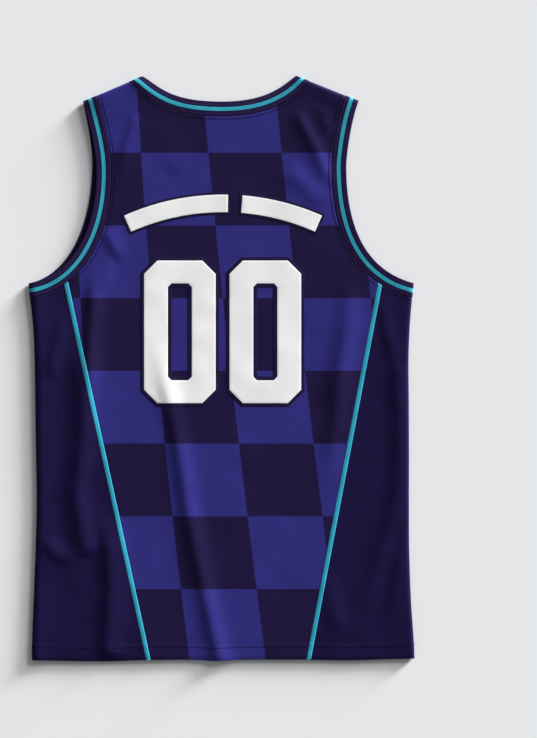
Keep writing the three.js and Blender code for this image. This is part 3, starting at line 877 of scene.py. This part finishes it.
def pipingStrip(side, layer):
    spacing = 3.4 if layer == "back" else 12.0
    columns = []
    for beside in np.linspace(-0.5, 0.5, 5) * cut["pipingWidth"]:
        top = armholeAt(side, layer, seamShareAt(side, layer, beside), seamInset)[0, 0, 1]
        rows = panelRows(top, spacing)
        if columns:
            rows = np.interp(np.linspace(0, 1, len(columns[0])), np.linspace(0, 1, len(rows)), rows)
        x = sides[side]["sign"] * (pipingHalf(side, layer, rows) + beside)
        columns.append(liftHem(np.stack([x, rows], axis=-1)))
    points = np.stack(columns)
    thickness = drape["piping"] + bodyThickness(points) - drape["cloth"]
    crown = np.array((0, 0.75, 1, 0.75, 0))[:, None] * 0.25
    middle = place(points, thickness, layer)
    if layer == "back":
        middle[..., 2] += crown
    return wall(f"piping_{layer}_{side}_tape", middle, thickness, points, materials["tape"])


def band(name, sharesOf, pointsAt, edgeHeight):
    insets = np.linspace(0, cut["bandWidth"], 17)
    backShares, frontShares = sharesOf("back"), sharesOf("front")
    stations = [("back", np.array((0.0,)), True), ("back", backShares[1:-1], False)]
    stations += [("back", np.array((1.0,)), True), ("front", frontShares[1:-1][::-1], False)]
    edgeShare = 1 - smooth(insets / drape["edgeReach"])[None]
    runs = []
    for layer, shares, folded in stations:
        points = pointsAt(layer, shares, insets)
        onApex = np.full(points.shape[:2], folded)
        runs.append(place(points, drape["band"], layer, edgeHeight, edgeShare, onApex))
    middle = np.concatenate(runs)
    step = np.linalg.norm(np.diff(middle, axis=0), axis=-1).mean(axis=1)
    u = np.broadcast_to(np.append(0, np.cumsum(step))[:, None], middle.shape[:2])
    v = np.broadcast_to(insets[None], middle.shape[:2])
    return wall(name, middle, drape["band"], np.stack([u, v], axis=-1), materials["rib"], joined=True)


def armholeBand(side):
    def sharesOf(layer):
        return np.concatenate([underarmShares(side, layer, 16), shoulderShares(side, layer, 100)])

    def pointsAt(layer, shares, insets):
        return armholeAt(side, layer, shares, insets)

    return band(f"armhole_band_{side}_rib", sharesOf, pointsAt, sides[side]["armholeEdge"])


clothPieces = {"back_panel": centrePanel("back"), "front_panel": centrePanel("front")}
clothPieces["neck_band"] = band(
    "neck_band_rib", lambda layer: neckShares(layer, 96), neckAt, drape["neckEdge"])
for side in sides:
    clothPieces[f"side_panel_{side}"] = sidePanel(side)
    clothPieces[f"armhole_band_{side}"] = armholeBand(side)
    for layer in layers:
        clothPieces[f"piping_{layer}_{side}"] = pipingStrip(side, layer)
print("cloth pieces made:", len(clothPieces))


def onBack(points, lift):
    # points of the upper cloth's outer face, moved out by lift, with the way out there
    nudge = 0.4
    height = upperHeight(points)
    slopeX = (upperHeight(points + (nudge, 0)) - upperHeight(points - (nudge, 0))) / (2 * nudge)
    slopeY = (upperHeight(points + (0, nudge)) - upperHeight(points - (0, nudge))) / (2 * nudge)
    normals = unit(np.stack([-slopeX, -slopeY, np.ones(height.shape)], axis=-1))
    middle = np.concatenate([points, height[..., None]], axis=-1)
    return middle + normals * (bodyThickness(points)[..., None] / 2 + lift)


number = {
    "centres": ((-57.8, 49.95), (59.5, 49.95)),
    "width": 98.2,
    "height": 195.7,
    "corner": 18.3,
    "counterWidth": 33.0,
    "counterHeight": 133.0,
    "counterCorner": 5.0,
    "outlineOut": 4.6,
    "outlineIn": 5.5,
    "film": 0.22,
}


def octagon(centre, width, height, corner, grow):
    w, h = width / 2 + grow, height / 2 + grow
    c = corner + grow * (2 - math.sqrt(2))
    upper = np.array(((w, h - c), (w - c, h), (c - w, h), (-w, h - c)))
    return np.vstack([upper, -upper]) + centre


def ringFilm(name, outer, inner, lift, material):
    # a flat ring between two outlines with as many corners, laid on the cloth
    outside, inside, spacing = [], [], 3.0
    for k in range(len(outer)):
        a, b, c, d = outer[k], outer[(k + 1) % len(outer)], inner[k], inner[(k + 1) % len(inner)]
        count = max(2, int(np.linalg.norm(b - a) / spacing))
        t = np.linspace(0, 1, count, endpoint=False)[:, None]
        outside.append(mix(a, b, t))
        inside.append(mix(c, d, t))
    outside, inside = np.vstack(outside), np.vstack(inside)
    across = np.linspace(0, 1, 13)[None, :, None]
    points = mix(outside[:, None], inside[:, None], across)[::-1]
    middle = onBack(points, lift + number["film"] / 2)
    return wall(name, middle, number["film"], points, material, joined=True)


def blockZero(index, centre):
    n = number
    films = []
    for name, outwards, inwards, lift, material in (
        ("outline", n["outlineOut"], n["outlineIn"], 0.02, materials["outline"]),
        ("white", 0.0, 0.0, 0.02 + n["film"], materials["white"]),
    ):
        outer = octagon(centre, n["width"], n["height"], n["corner"], outwards)
        inner = octagon(centre, n["counterWidth"], n["counterHeight"], n["counterCorner"], -inwards)
        films.append(ringFilm(f"number_{index}_{name}", outer, inner, lift, material))
    return films


nameBars = {
    "centre": (1.4, -95.8),
    "inner": 310.0,
    "outer": 334.0,
    "spans": ((-24.0, 1.2), (4.6, 24.0)),
    "outline": 3.4,
}


def archedBar(index, span):
    b = nameBars
    films = []
    for name, grow, lift, material in (
        ("outline", b["outline"], 0.02, materials["outline"]),
        ("white", 0.0, 0.02 + number["film"], materials["white"]),
    ):
        turn = math.degrees(grow / b["inner"])
        angles = np.radians(np.linspace(span[0] - turn, span[1] + turn, 50))[:, None]
        radii = np.linspace(b["inner"] - grow, b["outer"] + grow, 12)[None]
        points = np.stack([
            b["centre"][0] + np.sin(angles) * radii,
            b["centre"][1] + np.cos(angles) * radii,
        ], axis=-1)
        middle = onBack(points, lift + number["film"] / 2)
        films.append(wall(f"name_bar_{index}_{name}", middle, number["film"], points, material))
    return films


films = [film for k, centre in enumerate(number["centres"]) for film in blockZero(k + 1, centre)]
films += [film for k, span in enumerate(nameBars["spans"]) for film in archedBar(k + 1, span)]
print("number and bars laid on:", len(films))


def stitchLines():
    lines = []
    underStitch = sewing["thread"] * 0.6  # the underside's stitches stay off the surface below

    def add(points, layer):
        if layer == "back":
            lines.append(onBack(points, 0.05))
        else:
            lines.append(np.concatenate([points, np.full((len(points), 1), underStitch)], axis=-1))

    inset, hemMiddle = seamInset + sewing["topstitch"], cut["hemY"] + 20
    for layer in layers:
        add(neckAt(layer, np.linspace(*sewing["neckRun"], 160), inset)[:, 0], layer)
        for side in sides:
            shares = np.linspace(*sewing["armholeRun"], 220)
            add(armholeAt(side, layer, shares, inset)[:, 0], layer)
        for row in sewing["hemRows"]:
            y = cut["hemY"] + row
            west, east = sewing["hemEnds"]
            x = np.linspace(west - sideHalf("left", hemMiddle), sideHalf("right", hemMiddle) - east, 260)
            add(np.stack([x, y + readTable(hemRows, "up", x)], axis=-1), layer)
    return lines


def stitchTree(material):
    # short threads along each line of the mesh they are given
    tree = bpy.data.node_groups.new("StitchRow", "GeometryNodeTree")
    for name, kind, way in (
        ("Lines", "NodeSocketGeometry", "INPUT"), ("Pitch", "NodeSocketFloat", "INPUT"),
        ("Stitch", "NodeSocketFloat", "INPUT"), ("Thread", "NodeSocketFloat", "INPUT"),
        ("Seed", "NodeSocketInt", "INPUT"), ("Stitches", "NodeSocketGeometry", "OUTPUT"),
    ):
        tree.interface.new_socket(name, in_out=way, socket_type=kind)
    given = tree.nodes.new("NodeGroupInput").outputs
    curve = addNode(tree, "GeometryNodeMeshToCurve", {"Mesh": given["Lines"]})
    spaced = addNode(tree, "GeometryNodeResampleCurve", {
        "Curve": curve, "Length": given["Pitch"],
    }, mode="LENGTH")
    tangent = addNode(tree, "GeometryNodeInputTangent")
    aligned = addNode(tree, "FunctionNodeAlignRotationToVector", {"Vector": tangent}, axis="X")
    ball = addNode(tree, "GeometryNodeMeshUVSphere", {"Segments": 6, "Rings": 6, "Radius": 0.5})
    thread = addNode(tree, "ShaderNodeCombineXYZ", {
        0: given["Stitch"], 1: given["Thread"], 2: given["Thread"],
    })
    body = addNode(tree, "GeometryNodeTransform", {"Geometry": ball, "Scale": thread})
    size = addNode(tree, "FunctionNodeRandomValue", {
        2: 0.9, 3: 1.1, "Seed": given["Seed"],
    }, data_type="FLOAT")
    placed = addNode(tree, "GeometryNodeInstanceOnPoints", {
        "Points": spaced, "Instance": body, "Rotation": aligned, "Scale": size.outputs[1],
    })
    real = addNode(tree, "GeometryNodeRealizeInstances", {0: placed})
    coloured = addNode(tree, "GeometryNodeSetMaterial", {"Geometry": real, "Material": material})
    out = tree.nodes.new("NodeGroupOutput")
    tree.links.new(coloured.outputs[0], out.inputs[0])
    return tree


def sewStitches(name, lines, material):
    points = np.vstack(lines) * mm
    ends = np.cumsum([len(line) for line in lines])
    edges = [(k, k + 1) for k in range(len(points) - 1) if k + 1 not in ends]
    mesh = bpy.data.meshes.new(name)
    mesh.from_pydata(points.tolist(), edges, [])
    guide = bpy.data.objects.new(name + "_lines", mesh)
    bpy.context.scene.collection.objects.link(guide)
    tree = stitchTree(material)
    modifier = guide.modifiers.new("Stitches", "NODES")
    modifier.node_group = tree
    values = {"Pitch": sewing["pitch"] * mm, "Stitch": sewing["stitch"] * mm,
              "Thread": sewing["thread"] * mm, "Seed": sewing["seed"]}
    for item in tree.interface.items_tree:
        if item.name in values:
            modifier[item.identifier] = values[item.name]
    view = bpy.context.evaluated_depsgraph_get()
    made = bpy.data.objects.new(name, bpy.data.meshes.new_from_object(guide.evaluated_get(view)))
    bpy.data.objects.remove(guide)
    bpy.context.scene.collection.objects.link(made)
    return made


stitches = sewStitches("topstitching", stitchLines(), materials["thread"])
print("stitches sewn:", len(stitches.data.polygons), "faces")

# Each cloth piece stands for its CAD node: it is hung on the root body and the node's part is hidden
for node, piece in clothPieces.items():
    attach(piece, "root")
    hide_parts(node)
for piece in (*films, stitches):
    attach(piece, "root")

tapes = {layer: [clothPieces[f"piping_{layer}_{side}"] for side in sides] for layer in layers}
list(tapes["back"])
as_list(tapes["front"])

studio = {
    "floor": "#E7E8EA",
    "viewCentre": (63.9, -1.0),
    "viewHeight": 1013.6,  # millimetres of the surface seen from top to bottom
    "cameraHeight": 6.0,
    "sky": 0.23,
    # azimuths run from +X towards +Y; softness is how wide the lamp looks, in degrees
    "lamps": (
        {"name": "key", "power": 9.6, "azimuth": 41.0, "elevation": 7.0, "softness": 12.2},
        {"name": "softbox", "power": 3.9, "azimuth": 41.0, "elevation": 17.6, "softness": 31.0},
    ),
}


def makeStudio():
    scene = bpy.context.scene
    mesh = bpy.data.meshes.new("floor")
    reach = 8.0
    corners = ((-reach, -reach, 0), (reach, -reach, 0), (reach, reach, 0), (-reach, reach, 0))
    mesh.from_pydata(corners, [], [(0, 1, 2, 3)])
    material, tree, shader = startMaterial("MattPaperSweep", 0.9, 0.1)
    shader.inputs["Base Color"].default_value = hex4(studio["floor"])
    mesh.materials.append(material)
    floor = bpy.data.objects.new("floor", mesh)
    scene.collection.objects.link(floor)
    floor.location.z = -0.0001
    world = bpy.data.worlds.new("SoftStudio")
    world.use_nodes = True
    world.node_tree.nodes["Background"].inputs["Color"].default_value = (1, 1, 1, 1)
    world.node_tree.nodes["Background"].inputs["Strength"].default_value = studio["sky"]
    scene.world = world
    for lamp in studio["lamps"]:
        light = bpy.data.lights.new(lamp["name"], "SUN")
        light.energy = lamp["power"]
        light.angle = math.radians(lamp["softness"])
        holder = bpy.data.objects.new(lamp["name"], light)
        holder.rotation_euler = (0, math.radians(90 - lamp["elevation"]), math.radians(lamp["azimuth"]))
        scene.collection.objects.link(holder)
    camera = bpy.data.cameras.new("camera")
    camera.sensor_width = 36
    camera.lens = camera.sensor_width * studio["cameraHeight"] / (studio["viewHeight"] * mm)
    camera.clip_end = 20
    eye = bpy.data.objects.new("camera", camera)
    eye.location = (studio["viewCentre"][0] * mm, studio["viewCentre"][1] * mm, studio["cameraHeight"])
    scene.collection.objects.link(eye)
    scene.camera = eye
    scene.view_settings.view_transform = "Standard"


makeStudio()
print("studio lit")
